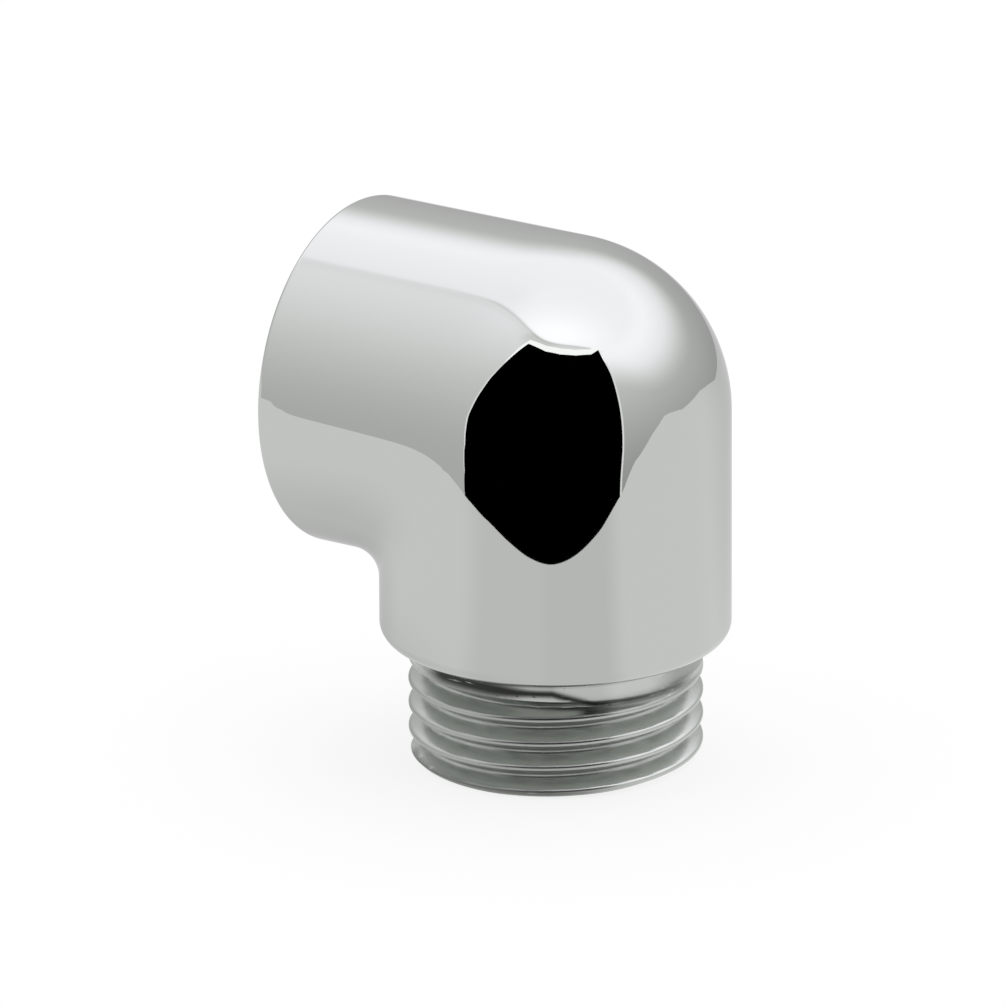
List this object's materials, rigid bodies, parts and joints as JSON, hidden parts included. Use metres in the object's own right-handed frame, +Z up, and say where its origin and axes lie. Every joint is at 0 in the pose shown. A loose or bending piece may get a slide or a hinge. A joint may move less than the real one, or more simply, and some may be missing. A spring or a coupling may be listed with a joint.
{
  "type": "extension elbow",
  "caption": "Right-angle pipe elbow, one piece of chrome-plated brass: a leg with a male pipe thread, and an arm with a female pipe thread in its mouth, joined by a ball-shaped corner.",
  "frame": {"origin": "centre of the end face of the male thread, which the part stands on", "axes": "+Z up the leg's axis, away from the male thread; -X along the arm's axis, out of its mouth; the part is alike on both sides of the XZ plane, apart from the threads' hand"},
  "size_m": [0.0295, 0.025, 0.038],
  "materials": {
    "chrome_plate": "polished bright chrome plate over brass, duller in the thread"
  },
  "bodies": {
    "root": {"elbow_body": "chrome_plate"}
  },
  "joints": []
}
